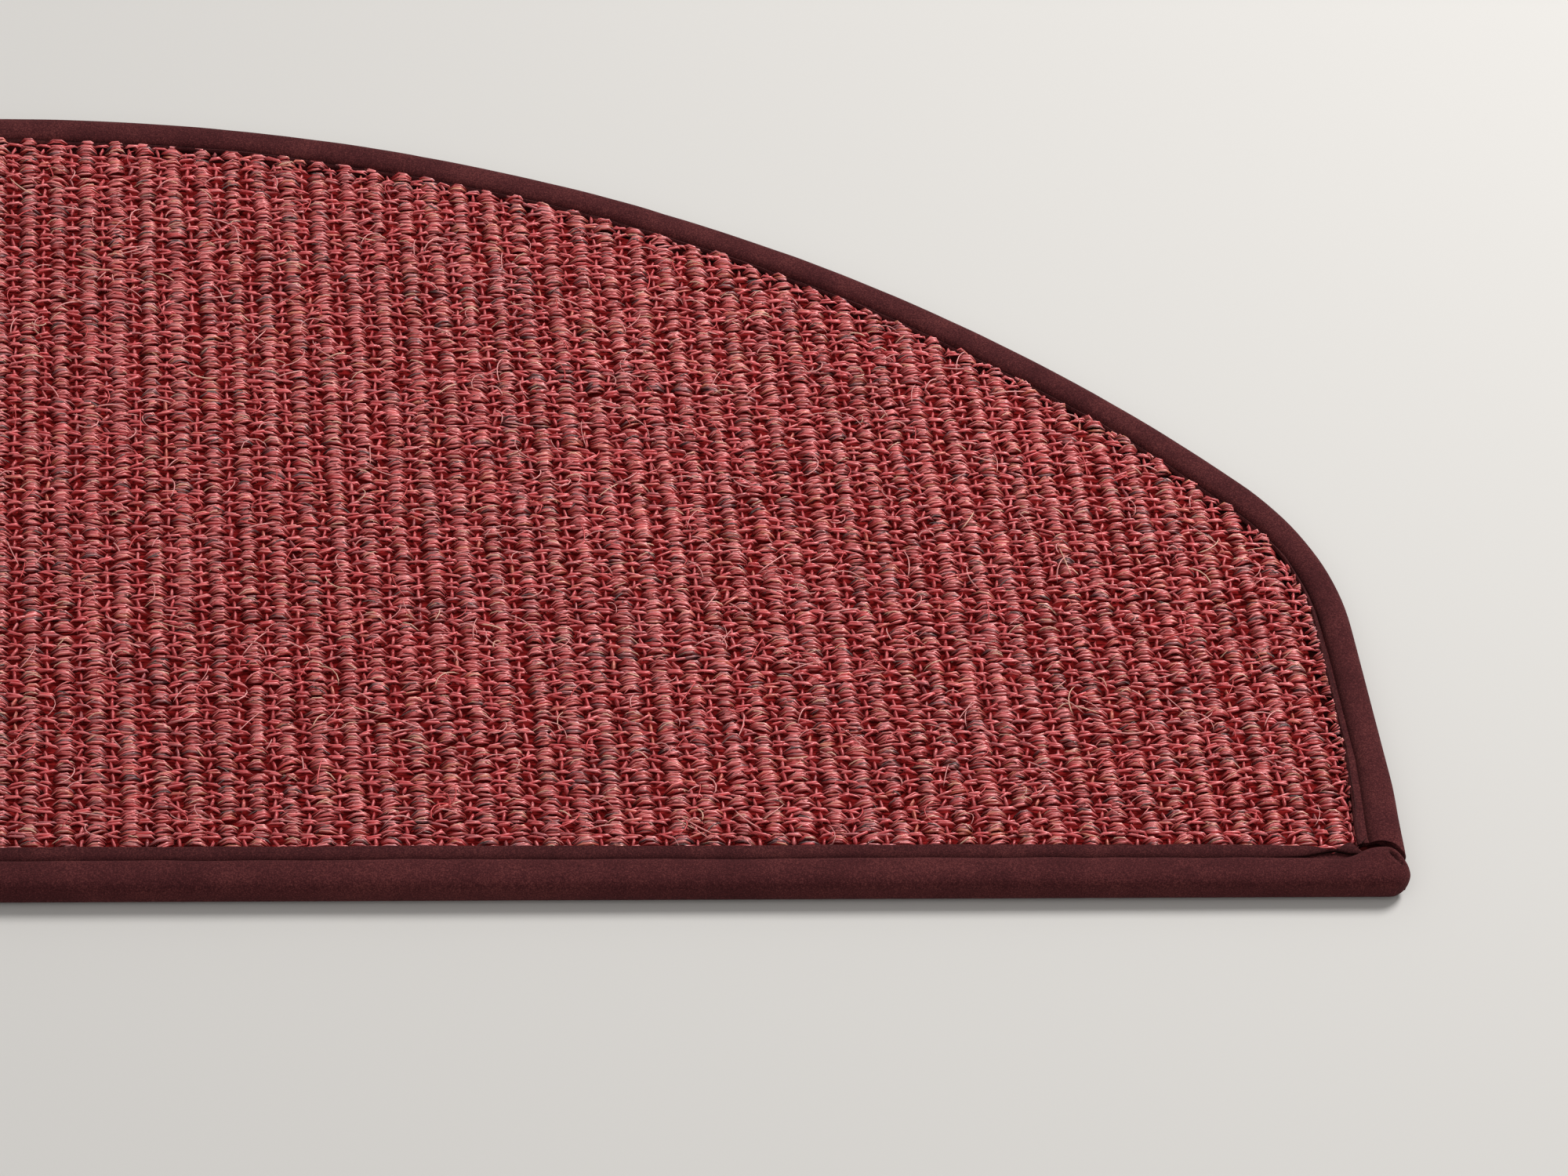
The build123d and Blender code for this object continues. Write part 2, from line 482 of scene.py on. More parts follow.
def strandFaces(rings):
    # one strand's quads and end triangles, and their places on a map along and round the strand
    sides = weave["strandSides"]
    one = np.roll(np.arange(sides), -1)[:, None]      # the side that faces down comes first
    two = (one + 1) % sides
    here = np.arange(rings - 1)[None, :] * sides
    far = (rings - 1) * sides
    quads = np.stack([here + one, here + two, here + sides + two, here + sides + one], -1)
    tips = np.stack([np.concatenate([np.full((sides, 1), rings * sides), two, one], 1),
                     np.concatenate([np.full((sides, 1), rings * sides + 1), far + one, far + two], 1)], 1)

    def mapPoint(alongShare, roundShare):
        return np.stack(np.broadcast_arrays(alongShare, roundShare), -1)

    left, middle, right = one / sides, (one + 0.5) / sides, (one + 1) / sides
    ahead = np.arange(1, rings)[None, :] / (rings + 1)
    after = ahead + 1 / (rings + 1)
    quadMap = np.stack([mapPoint(ahead, left), mapPoint(ahead, right),
                        mapPoint(after, right), mapPoint(after, left)], -2)
    first, last = np.array([[1]]) / (rings + 1), np.array([[rings]]) / (rings + 1)
    tipMap = np.concatenate([
        np.stack([mapPoint(0.0, middle), mapPoint(first, right), mapPoint(first, left)], -2),
        np.stack([mapPoint(1.0, middle), mapPoint(last, left), mapPoint(last, right)], -2)], 1)
    return quads, tips, quadMap, tipMap


def unit(vectors):
    return vectors / np.maximum(np.linalg.norm(vectors, axis=-1, keepdims=True), 1e-9)


def makeStrands(name, material, centres, radii, colours, flat=0.85):
    # closed little strands: centres (count, stations, 3), the first and last station being the tips
    count, stations = centres.shape[:2]
    rings, sides = stations - 2, weave["strandSides"]
    each = rings * sides + 2
    turn = 2 * math.pi * np.arange(sides) / sides + math.pi / 2
    along = unit(centres[:, 2:] - centres[:, :-2])
    across = unit(np.cross(np.array([0.0, 0.0, 1.0]), along))
    upward = np.cross(along, across)
    ring = (centres[:, 1:-1, None] + across[:, :, None] * (np.cos(turn) * radii[..., None])[..., None]
            + upward[:, :, None] * (np.sin(turn) * radii[..., None] * flat)[..., None])
    points = np.concatenate([ring.reshape(count, rings * sides, 3), centres[:, :1], centres[:, -1:]], 1)
    quads, tips, quadMap, tipMap = strandFaces(rings)
    shift = np.arange(count)[None, :, None, None] * each
    own = chance.integers(0, 200, (1, count, 1, 1, 2))
    strandMap = np.concatenate([(shares[:, None] + own).reshape(-1, 2) for shares in (quadMap, tipMap)])
    piece = buildMesh(name, points, quads[:, None] + shift, tips[:, None] + shift)
    addColour(piece, "yarnColour", np.repeat(colours, each, axis=0))
    addMap(piece, "strandMap", strandMap)
    addFlatMap(piece)
    piece.data.materials.append(material)
    return piece


# Beside the tape the strands dive
dive = {
    "slope": 0.8,                 # fall for each step that the tape pushes a strand aside
    "most": 0.9 * mm,
    "press": 0.25 * mm,           # how far the weave beside the tape is pressed down
    "pressWidth": 1.6 * mm,
}


def keepInside(points, margin):
    # moves what would run over the tape to its edge, and down
    x, y = points[..., 0], points[..., 1]
    step = 0.05 * mm
    lap = sideLap + sideSpread(y)
    slopeX = (edgeDistance(x + step, y) - edgeDistance(x - step, y)) / (2 * step)
    slopeY = (edgeDistance(x, y + step) - edgeDistance(x, y - step)) / (2 * step)
    short = np.clip(lap + margin - edgeDistance(x, y), 0, None)
    points = points.copy()
    points[..., 0] += slopeX * short
    points[..., 1] += slopeY * short
    front = frontEdge(points[..., 0])
    shortFront = np.clip(front + margin - points[..., 1], 0, None)
    points[..., 1] += shortFront
    points[..., 2] -= np.minimum(dive["slope"] * np.maximum(short, shortFront), dive["most"])
    near = np.minimum(edgeDistance(points[..., 0], points[..., 1]) - lap, points[..., 1] - front)
    points[..., 2] -= dive["press"] * np.clip(1 - near / dive["pressWidth"], 0, 1)
    return points


ribCount = int(outline["width"] / weave["ribPitch"] / 2) + 1
rowCount = int(outline["depth"] / weave["rowPitch"]) + 1
ribIndex = np.arange(-ribCount, ribCount)
ribDrift = softened(chance.normal(size=(len(ribIndex), rowCount)), 15) * weave["ribWander"]
rowDrift = softened(chance.normal(size=(rowCount, len(ribIndex))), 9).T * weave["rowWander"]
ribSize = uneven("ribSize", len(ribIndex))


def weaveGrid(offset):
    # centres of every rib and row; offset half a rib for the ladder between ribs
    x = (ribIndex[:, None] + 0.5 + offset[0]) * weave["ribPitch"] + ribDrift
    row = np.arange(-1, rowCount - 1)[None] + weave["firstRow"] + offset[1]
    return x, frontY + frontLap + row * weave["rowPitch"] + rowDrift


def beadStrands():
    x, y = weaveGrid((0, 0))
    shape = x.shape + (weave["strands"],)
    k = np.arange(weave["strands"]) - (weave["strands"] - 1) / 2
    x = x + uneven("beadSlip", x.shape)
    size = (1 + ribSize[:, None] + uneven("beadSize", x.shape))[..., None]
    offset = k * weave["strandGap"] * size + uneven("strandSlip", shape)
    rounded = 1 - (k / (weave["strands"] * 0.58)) ** 2
    beadTop = weave["crown"] + uneven("beadRise", x.shape)[..., None]
    flank = weave["flankShare"]
    crown = weave["beadEnd"] + (beadTop - weave["beadEnd"]) * (flank + (1 - flank) * rounded)
    crown = crown + uneven("strandRise", shape)
    span = weave["halfSpan"] * size * chance.uniform(0.84, 1.06, shape)
    lean = (uneven("beadLean", x.shape)[..., None] + uneven("strandLean", shape)) * span
    slide = uneven("strandSlide", shape)
    radius = weave["strandRadius"] * chance.uniform(0.76, 1.14, shape)
    # stations along a strand; towards its tips it sinks, tapers and draws in to the bead's middle
    t = np.array([-1.0, -0.74, -0.27, 0.27, 0.74, 1.0])
    arch = 1 - np.abs(t) ** 2.2
    cx = (x[..., None] + slide)[..., None] + span[..., None] * t
    cy = y[..., None, None] + offset[..., None] * (1 - 0.68 * t**2) + lean[..., None] * t
    cz = weave["beadEnd"] + (crown - weave["beadEnd"])[..., None] * arch
    radii = radius[..., None] * (1 - 0.42 * t[1:-1] ** 2)
    colours = yarnColours((weave["strands"], rowCount, len(ribIndex)), 5).transpose(2, 1, 0, 3)
    return x, y, np.stack([cx, cy, cz], -1), radii, colours


def makeBeads(material):
    x, y, centres, radii, colours = beadStrands()
    keep = ((edgeDistance(x, y) > sideLap + sideSpread(y) - weave["sideReach"])
            & (y > frontEdge(x) - weave["frontReach"]))
    x, centres, radii, colours = x[keep], centres[keep], radii[keep], colours[keep]
    centres = keepInside(centres, -weave["overTape"])
    order = np.argsort(x, kind="stable")
    made = []
    for number, part in enumerate(np.array_split(order, weave["pieces"]), 1):
        made.append(makeStrands(
            f"sisal_beads_{number}", material, centres[part].reshape(-1, *centres.shape[-2:]),
            radii[part].reshape(-1, radii.shape[-1]), colours[part].reshape(-1, 3)))
    print("beads:", len(order), "each of", weave["strands"], "strands")
    return made


# Loose fibres: short ones that lie over the beads, and longer stray hairs
loose = {
    "fibreRadius": 0.18 * mm,
    "fibreSpread": 0.75 * mm,     # how far they lie from the middle of their bead
    "fibreShift": 0.7 * mm,
    "fibreSlant": 0.32,
    "fibreLift": 0.28 * mm,
    "hairs": 1100,
    "hairRadius": 0.15 * mm,
    "hairLength": (4.0 * mm, 12.0 * mm),
    "hairLift": (0.3 * mm, 1.3 * mm),
    "hairBend": 1.5,
    "pale": (1.0, 0.50, 0.47),
    "straw": (0.98, 0.70, 0.50),
    "grey": (0.12, 0.16, 0.155),
}


def makeFibres(material):
    x, y = weaveGrid((0, 0))
    keep = (edgeDistance(x, y) > sideLap + 1.5 * mm) & (y > frontY + frontLap)
    x, y = (np.concatenate([place[keep], place[keep][::2]]) for place in (x, y))
    n = len(x)
    offset = chance.normal(0, loose["fibreSpread"], n)
    top = weave["crown"] + loose["fibreLift"] - 0.42 * mm * (offset / (1.2 * mm))**2
    top = np.maximum(top, weave["crown"] - 1.6 * mm)
    span = weave["halfSpan"] * chance.uniform(0.45, 0.95, n)
    slant = chance.normal(0, loose["fibreSlant"], n) * span
    shift = chance.normal(0, loose["fibreShift"], n)
    t = np.array([-1.0, -0.55, 0.0, 0.55, 1.0])
    cx = (x + shift)[:, None] + span[:, None] * t
    cy = (y + offset)[:, None] + slant[:, None] * t + chance.normal(0, 0.12 * mm, (n, 5))
    sag = (np.abs(cx - x[:, None]) / weave["halfSpan"]) ** 2.3 * (weave["crown"] - weave["beadEnd"])
    cz = np.maximum(top[:, None] - sag, weave["beadEnd"])
    centres = keepInside(np.stack([cx, cy, cz], -1), 0.5 * mm)
    radii = loose["fibreRadius"] * chance.uniform(0.7, 1.3, n)[:, None] * np.ones(3)
    kind = chance.random(n)[:, None]
    colours = np.where(kind < 0.55, weave["rose"], np.where(kind < 0.8, loose["straw"], loose["grey"]))
    colours = colours * chance.uniform(0.8, 1.1, (n, 1))
    return makeStrands("sisal_fibres", material, centres, radii, colours)


def makeHairs(material):
    n = loose["hairs"]
    x = chance.uniform(-endX, endX, 4 * n)
    y = chance.uniform(frontY, apexY, 4 * n)
    keep = (edgeDistance(x, y) > sideLap + 5 * mm) & (y > frontY + frontLap + 3 * mm)
    x, y = x[keep][:n], y[keep][:n]
    n = len(x)
    heading = chance.normal(0, 0.9, n)
    length = chance.uniform(*loose["hairLength"], n)
    bend = chance.normal(0, loose["hairBend"], n)
    t = np.linspace(-0.5, 0.5, 7)
    angle = heading[:, None] + bend[:, None] * t
    step = length[:, None] / 6
    cx = x[:, None] + np.cumsum(np.cos(angle) * step, 1)
    cy = y[:, None] + np.cumsum(np.sin(angle) * step, 1)
    lift = chance.uniform(*loose["hairLift"], n)[:, None] * np.cos(math.pi * t)
    centres = keepInside(np.stack([cx, cy, weave["crown"] - 0.1 * mm + lift], -1), 0.3 * mm)
    radii = loose["hairRadius"] * chance.uniform(0.7, 1.5, n)[:, None] * np.ones(5)
    kind = chance.random(n)[:, None]
    colours = np.where(kind < 0.6, loose["pale"], np.where(kind < 0.68, loose["straw"], weave["salmon"]))
    return makeStrands("sisal_hairs", material, centres, radii, colours, flat=1.0)


yarn = {
    "along": 0.9,                 # fibre noise per strand, along and round it
    "around": 9.0,
    "contrast": 1.0,
    "flecks": 0.85,
    # how strongly painted shade darkens the tips and a painted highlight pales the crowns
    "ends": 0.9,
    "dark": (0.46, 0.06, 0.062),
    # colour of the painted shade at the strand tips
    "deep": (0.40, 0.032, 0.034),
    # pale fibres, and also the colour of the painted highlight on the crowns
    "pale": (1.0, 0.37, 0.37),
    "teal": weave["teal"],
    "straw": (0.90, 0.50, 0.26),
    "glint": (1.0, 0.56, 0.56),
    "bump": 0.4,
    "bumpDepth": 0.25 * mm,
    "roughness": 0.30,
    "specular": 0.8,
}
looseYarn = {**yarn, "contrast": 0.5, "flecks": 0.15, "ends": 0.0, "bump": 0.3}
sisalYarn = yarnMaterial("sisalYarn", yarn)
sisalHair = yarnMaterial("sisalHair", looseYarn)
beads = makeBeads(sisalYarn)
fibres = makeFibres(sisalHair)
hairs = makeHairs(sisalHair)


# The ladder between the ribs: upright stitches and short weft bars
ladder = {
    "stitchLength": 3.4 * mm,
    "stitchRadius": 0.56 * mm,
    "stitchTop": 5.55 * mm,
    "barLength": 5.2 * mm,
    "barRadius": 0.40 * mm,
    "barTop": 6.15 * mm,
    "barFoot": 0.7 * mm,          # height of a bar's ends over the ground
    "barPair": (-0.3 * mm, 0.35 * mm),    # the bars come in loose pairs
    "barSlip": 0.5 * mm,
    "rise": 0.3 * mm,
    "lean": 0.22,
    "wave": 0.18 * mm,
    "mauve": (0.66, 0.125, 0.140),
    "pink": (0.92, 0.200, 0.215),
    "tint": 0.55,
}


def makeLadder(material, name, lengthwise):
    x, y = weaveGrid((0.5, 0.0 if lengthwise else 0.5))
    keep = (edgeDistance(x, y) > sideLap + sideSpread(y) - 0.2 * mm) & (y > frontEdge(x) - 0.3 * mm)
    x, y = x[keep], y[keep]
    if not lengthwise:
        x = np.tile(x, 2) + chance.normal(0, ladder["barSlip"], 2 * len(x))
        y = np.concatenate([y + shift for shift in ladder["barPair"]])
    n = len(x)
    kind = "stitch" if lengthwise else "bar"
    top = ladder[kind + "Top"] + chance.normal(0, ladder["rise"], n)
    t = np.array([-1.0, -0.45, 0.45, 1.0])
    run = ladder[kind + "Length"] / 2 * chance.uniform(0.75, 1.25, n)[:, None] * t
    lean = chance.normal(0, ladder["lean"], n)[:, None] * run
    wave = chance.normal(0, ladder["wave"], (n, 4))
    acrossX, acrossY = (lean, run) if lengthwise else (run, lean)
    cx, cy = x[:, None] + acrossX + wave, y[:, None] + acrossY + wave[::-1]
    foot = weave["groundTop"] if lengthwise else weave["groundTop"] + ladder["barFoot"]
    cz = foot + (top[:, None] - foot) * np.array([0.0, 1.0, 1.0, 0.0])
    radii = ladder[kind + "Radius"] * chance.uniform(0.75, 1.2, (n, 2))
    tint = np.array(ladder["mauve" if lengthwise else "pink"])
    colours = yarnColours((n,), 3) * (1 - ladder["tint"]) + tint * ladder["tint"]
    centres = keepInside(np.stack([cx, cy, cz], -1), 0.4 * mm)
    print(name + ":", n)
    return makeStrands(name, material, centres, radii, colours)


stitches = makeLadder(sisalHair, "sisal_stitches", True)
bars = makeLadder(sisalHair, "sisal_weft_bars", False)


# The ground: the coated sheet that everything is woven into
sheet = {
    "inset": 2.3 * mm,            # how far its cut edge stays inside the tape's outer face
    "area": 0.146,                # square metres, worked out from the outline
    "section": ((13.4, 0.05), (13.2, 0.9), (2.9, 1.1), (2.3, 1.6), (2.3, 3.4), (3.0, 4.4), (9.0, 4.6),
                (12.5, 4.5)),     # millimetres inward and up, from the latex round the edge to the top
    "fibreNoise": (320.0, 1700.0, 0.0),
    "fibres": ((0.07, 0.003, 0.003), (0.30, 0.018, 0.018)),
    # near-black painted shade for the rim beside the tape, where the ground shows in the gap
    "rim": ((0.012, 0.002, 0.002), (0.035, 0.004, 0.004)),
    "latex": ((0.30, 0.26, 0.21), (0.42, 0.37, 0.30)),
    "latexRoughness": 0.7,
}


def makeGround(materials):
    pathPoints, inward = outlinePath(frontY + sheet["inset"], 4 * mm)
    loops = []
    for depth, height in np.array(sheet["section"]) * mm:
        inner = pathPoints + inward * depth
        inner[:, 1] = np.maximum(inner[:, 1], frontY + depth)
        inner[:, 0] = np.clip(inner[:, 0], -(sideX - depth), sideX - depth)
        loops.append(np.column_stack([inner, np.full(len(inner), height)]))
    n = len(pathPoints)
    piece = buildMesh("sisal_ground", np.concatenate(loops), skinQuads(len(loops), n))
    mesh = piece.data
    bm = bmesh.new()
    bm.from_mesh(mesh)
    bm.verts.ensure_lookup_table()
    # the rim round the edge, beside and under the tape, gets the painted shade
    for face in bm.faces:
        face.material_index = 2
    top = bm.faces.new([bm.verts[(len(loops) - 1) * n + i] for i in range(n)])
    bottom = bm.faces.new([bm.verts[i] for i in reversed(range(n))])
    top.material_index = 0
    bottom.material_index = 1
    bmesh.ops.recalc_face_normals(bm, faces=bm.faces)
    bm.to_mesh(mesh)
    bm.free()
    for material in materials:
        mesh.materials.append(material)
    return piece


def groundMaterial(name, colours):
    material, tree, shader = newMaterial(name)
    noise = objectNoise(tree, 1.0, stretch=sheet["fibreNoise"])
    colour = colourRamp(tree, noise, ((0.35, colours[0]), (0.70, colours[1])))
    setInputs(shader, {"Base Color": colour, "Roughness": 1.0, "Specular IOR Level": 0.0})
    return material


def latexMaterial():
    material, tree, shader = newMaterial("latexBack")
    colour = colourRamp(tree, objectNoise(tree, 180.0), tuple(enumerate(sheet["latex"])))
    setInputs(shader, {"Base Color": colour, "Roughness": sheet["latexRoughness"]})
    return material


ground = makeGround((groundMaterial("sisalGround", sheet["fibres"]), latexMaterial(),
                     groundMaterial("paintedShadeRim", sheet["rim"])))
print("ground made")

for piece in beads + [fibres, hairs, stitches, bars, ground]:
    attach(piece, "root")
    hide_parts("sisal_panel")


# Bindings, each swept along its edge
tapeChance = np.random.default_rng(tape["seed"])


def ripple(place, low, high, count, width):
    # how far a sewn edge wanders at each place along it
    kernel = np.hanning(width) / np.sqrt((np.hanning(width)**2).sum())
    drift = np.convolve(tapeChance.normal(size=count + 2 * width), kernel, "same")
    return np.interp(place, np.linspace(low, high, count), drift[width:-width] * tape["ripple"])


def foldEdge(fromEnd):
    # how far the front roll reaches in, counted from the mat's outer end
    crest, half = fold["crest"], (fold["start"] - fold["crest"]) / 2
    bend = (half**2 + (fold["swell"] / 2)**2) / fold["swell"]
    flare = bend - np.sqrt(bend**2 - np.clip(fold["start"] - fromEnd, 0, half)**2)
    top = bend - np.sqrt(bend**2 - np.clip(fromEnd - crest, 0, half)**2)
    swell = np.where(fromEnd > crest + half, flare, fold["swell"] - top)
    drop = tape["rollWidth"] + fold["swell"] - fold["endWidth"]
    tuck = (crest**2 + drop**2) / (2 * drop)
    fall = tuck - np.sqrt(tuck**2 - np.clip(crest - fromEnd, 0, crest)**2)
    return tape["rollWidth"] + np.where(fromEnd < crest, fold["swell"] - fall, swell)


def tapeSections(width, height, lap, leg, groove, trench, under, top, band, hollow, square):
    # cross-sections as (inward, up): underneath, round the roll, over the flat band, back inside;
    # with each point goes how much of the colour is left under painted shade, the creases being darkest
    rows, lights = [], []
    zero = np.zeros_like(width)

    def put(inward, up, light=1.0):
        rows.append(np.stack([inward + zero, up + zero], -1))
        lights.append(light)

    foot, middle, waist, plain = tape["foot"], width / 2, tape["waist"], tape["plainGroove"]
    for share in (1.0, 0.7, 0.4, 0.15):
        put(foot + (leg - foot) * share, 0)
    for turn in np.radians([0, 22, 45, 68, 90]):
        put(foot - foot * math.sin(turn), foot - foot * math.cos(turn))
    crown = tape["crownSquare"]
    for turn in np.radians(np.linspace(4, 90, 13)):
        put(middle * (1 - math.cos(turn)**crown), waist + (height - waist) * math.sin(turn)**crown)
    lip = groove * band + plain * (1 - band)
    for turn in np.radians(np.linspace(82, 0, 12)):
        put(middle * (1 + math.cos(turn)**square), lip + (height - lip) * math.sin(turn)**square,
            min(1.0, tape["lipPaintedShade"] + 2.2 * turn))

    # down the crease, up beside it, over the flat band and round its sewn edge
    flat = ((width + 0.3 * trench, groove - 0.1 * mm), (width + 0.8 * trench + under, groove + 0.1 * mm),
            (width + trench + 0.06 * mm, top - 0.75 * mm),
            (width + trench + 0.12 * mm, top - 0.15 * mm), ((width + trench + lap) / 2, top),
            (lap - 0.55 * mm, top), (lap - 0.2 * mm, top - 0.1 * mm), (lap, top - 0.4 * mm),
            (lap, top - 0.9 * mm), (lap - 0.12 * mm, top - 1.2 * mm))
    # the crease floor gets full painted shade, the flat band a lighter painted shade
    for number, (inward, up) in enumerate(flat, 1):
        put(inward * band + width * (1 - band), up * band + (plain - number * 0.035 * mm) * (1 - band),
            0.0 if number < 4 else tape["bandPaintedShade"])

    # the hollow that the panel lies in
    edge, thick = lap * band + width * (1 - band), tape["thickness"]
    inside = ((edge - 0.7 * mm, top - 1.25 * mm), (zero + 5.0 * mm, top - 1.3 * mm),
              (zero + 2.6 * mm, top - 1.6 * mm), (zero + 1.75 * mm, 4.2 * mm), (zero + 1.7 * mm, 1.8 * mm),
              (zero + 2.3 * mm, 1.05 * mm), (zero + 4.0 * mm, thick), (leg - 0.3 * mm, thick),
              (leg, 0.6 * mm))
    for number, (inward, up) in enumerate(inside, 1):
        share = number / len(inside)
        put(inward * hollow + (edge * (1 - share) + leg * share) * (1 - hollow),
            up * hollow + ((top - 1.25 * mm) * (1 - share) + 0.5 * mm * share) * (1 - hollow))
    return np.stack(rows, 1), np.array(lights)


def stripMap(points, travel):
    # a map for baking: the tape's skin in five strips side by side, and a small disc for each end
    around, strips = points.shape[1], 5
    middle = points[len(points) // 2]
    girth = np.linalg.norm(np.diff(np.concatenate([middle, middle[:1]]), axis=0), axis=1)
    across = np.concatenate([[0], np.cumsum(girth)]) / girth.sum()
    each = travel[-1] / strips
    strip = np.clip((0.5 * (travel[1:] + travel[:-1]) / each).astype(int), 0, strips - 1)
    low = (travel[:-1] - strip * each) / each
    high = (travel[1:] - strip * each) / each
    u = np.stack([low, low, high, high], 1)[:, None, :].clip(-0.01, 1.01) * 0.96 + 0.02
    side = np.stack([across[:-1], across[1:], across[1:], across[:-1]], 1)[None]
    v = strip[:, None, None] + 0.03 + 0.94 * side
    turn = 2 * math.pi * np.arange(around + 1) / around
    disc = 0.014 * np.stack([np.cos(turn), np.sin(turn)], 1)
    near, far = disc[:-1], disc[1:]
    ends = [np.stack([np.full((around, 2), centre), one + centre, two + centre], 1)
            for centre, one, two in (((0.1, 0.98), far, near), ((0.2, 0.98), near, far))]
    skin = np.stack([u + 0 * v, v * 0.96 / strips], -1)
    return np.concatenate([skin.reshape(-1, 2), np.concatenate(ends).reshape(-1, 2)])


def sweepTape(name, points, tips, travel, shade, material):
    # closed skin over the sections, fanned together at the two tips
    stations, around = points.shape[:2]
    one = np.arange(around)
    two = (one + 1) % around
    first, last = stations * around, stations * around + 1
    far = (stations - 1) * around
    fans = np.concatenate([np.stack([np.full(around, first), two, one], 1),
                           np.stack([np.full(around, last), far + one, far + two], 1)])
    piece = buildMesh(name, np.concatenate([points.reshape(-1, 3), tips]),
                      skinQuads(stations, around), fans)
    addColour(piece, "creaseShade", np.tile(np.append(shade.ravel(), (1.0, 1.0))[:, None], 3))
    addMap(piece, "OFBake", stripMap(points, travel))
    piece.data.materials.append(material)
    return piece


def makeFrontBinding(material):
    near = fold["endRound"] * (1 - np.cos(np.radians(np.arange(6, 91, 7))))
    fromEnd = np.concatenate([near, np.arange(5.2, 26, 0.45) * mm, np.linspace(26.5 * mm, endX, 92)])
    fromEnd = np.concatenate([fromEnd, fromEnd[-2::-1]])
    side = np.ones(len(fromEnd))
    side[len(fromEnd) // 2 + 1:] = -1
    x = side * (endX - fromEnd)
    steady = smoothStep(fromEnd, 10 * mm, 30 * mm)
    edge = foldEdge(fromEnd)
    rippleWide = ripple(x, -endX, endX, 160, 5)
    rippleSlow = ripple(x, -endX, endX, 60, 4)
    width = edge + rippleWide * steady * 0.8
    lift = hump(fromEnd, fold["lift"], fold["crest"], fold["liftSpread"])
    height = tape["rollHeight"] + lift + rippleSlow * 0.5 * steady
    wedge = hump(fromEnd, 1, corner["wedge"], np.where(fromEnd > corner["wedge"], 7.0 * mm, 3.5 * mm))
    lap = frontLap + frontPucker(fromEnd) + rippleSlow * 0.6 * steady
    groove = tape["groove"] - corner["wedgeDeep"] * wedge
    trench = 0.4 * mm + corner["wedgeDeep"] * wedge
    # the band comes out of the fold, and the turned-under leg is gathered into it
    band = smoothStep(fromEnd, 9.5 * mm, 13.5 * mm)
    hollow = smoothStep(fromEnd, 1.8 * mm, 3.0 * mm)
    legEnd = np.where(fromEnd < 18 * mm, edge - 0.3 * mm, tape["leg"])
    leg = legEnd + (tape["leg"] - legEnd) * smoothStep(fromEnd, 13.8 * mm, 16 * mm)
    sections, lights = tapeSections(width, height, lap, leg, groove, trench, corner["wedgeUnder"] * wedge,
                                    tape["bandTop"], band, hollow, tape["frontSquare"])
    # painted shade darkens the crease and the flat band, most at the pucker's wedge
    shade = 1 - (1 - lights) * (band * (0.5 + 0.5 * wedge))[:, None]
    # the outermost sections shrink to a point, so each end is round
    middle = np.stack([edge * 0.5, np.full(len(x), fold["middle"])], -1)[:, None]
    away = np.clip(1 - fromEnd / fold["endRound"], 0, 1)
    sections = middle + (sections - middle) * np.sqrt(1 - away**2)[:, None, None]
    points = np.stack([np.broadcast_to(x[:, None], sections.shape[:2]),
                       frontY + sections[..., 0], sections[..., 1]], -1)
    # dark marks where painted shade falls along the fold's crease
    points, dark = creaseFold(points)
    tips = np.array([[end, frontY + edge[0] / 2, fold["middle"]] for end in (endX, -endX)])
    travel = np.concatenate([[0], np.cumsum(np.abs(np.diff(x)))])
    return sweepTape("front_binding", points, tips, travel, shade * (1 - 0.7 * dark), material)


# A short slanting crease and soft dimples on each plump end; painted shade darkens the crease
foldCrease = {
    "start": (4.6, 8.6),          # millimetres in from the outer end and from the front edge
    "run": (-2.2, -3.0),
    "depth": 1.3 * mm,
    "width": 0.55 * mm,
    "shadeWidth": 0.7 * mm,
    "ridge": (0.28 * mm, 1.3 * mm, 0.7 * mm),     # size, distance from the crease, spread
    "dimple": 0.12 * mm,
}


def creaseFold(points):
    s = endX - np.abs(points[..., 0])
    d = points[..., 1] - frontY
    start, run = np.array(foldCrease["start"]) * mm, np.array(foldCrease["run"]) * mm
    share = np.clip(((s - start[0]) * run[0] + (d - start[1]) * run[1]) / (run @ run), 0, 1)
    off = np.hypot(s - start[0] - share * run[0], d - start[1] - share * run[1])
    upper = smoothStep(points[..., 2], 5.0 * mm, 7.2 * mm)
    depth = hump(off, foldCrease["depth"], 0, foldCrease["width"]) * upper
    ridge = hump(off, *foldCrease["ridge"]) * upper
    wave = np.sin(s / (1.9 * mm) + 1.3) * np.sin(d / (1.6 * mm)) * smoothStep(16 * mm - s, 0, 8 * mm)
    points = points.copy()
    points[..., 2] += ridge - depth + foldCrease["dimple"] * wave * upper
    # the second result is where painted shade darkens the crease
    return points, hump(off, 1, 0, foldCrease["shadeWidth"]) * upper


# The side tape's cut ends, and how the tape changes from the sides to the back
sideTape = {
    "backFrom": (70 * mm, 125 * mm),      # from the front edge, where the sides turn into the back
    "narrow": 0.3 * mm,                   # how much narrower the roll is on the sides
    "sideGroove": (0.9 * mm, 0.8 * mm),   # how much deeper than in front: everywhere, and on the sides
    "trench": (1.7 * mm, 1.35 * mm),      # width of the crease on the sides, and how much of it closes
    "backDrop": 0.9 * mm,                 # how much lower the band lies round the back
    "shade": (0.85, 0.35),                # depth of the crease's shade, and how much less it is behind
    "endTuck": 1.2 * mm,                  # the outer face draws in beside the folded corner
    "endSlant": 2.3 * mm,
    "endLean": 0.4,
}


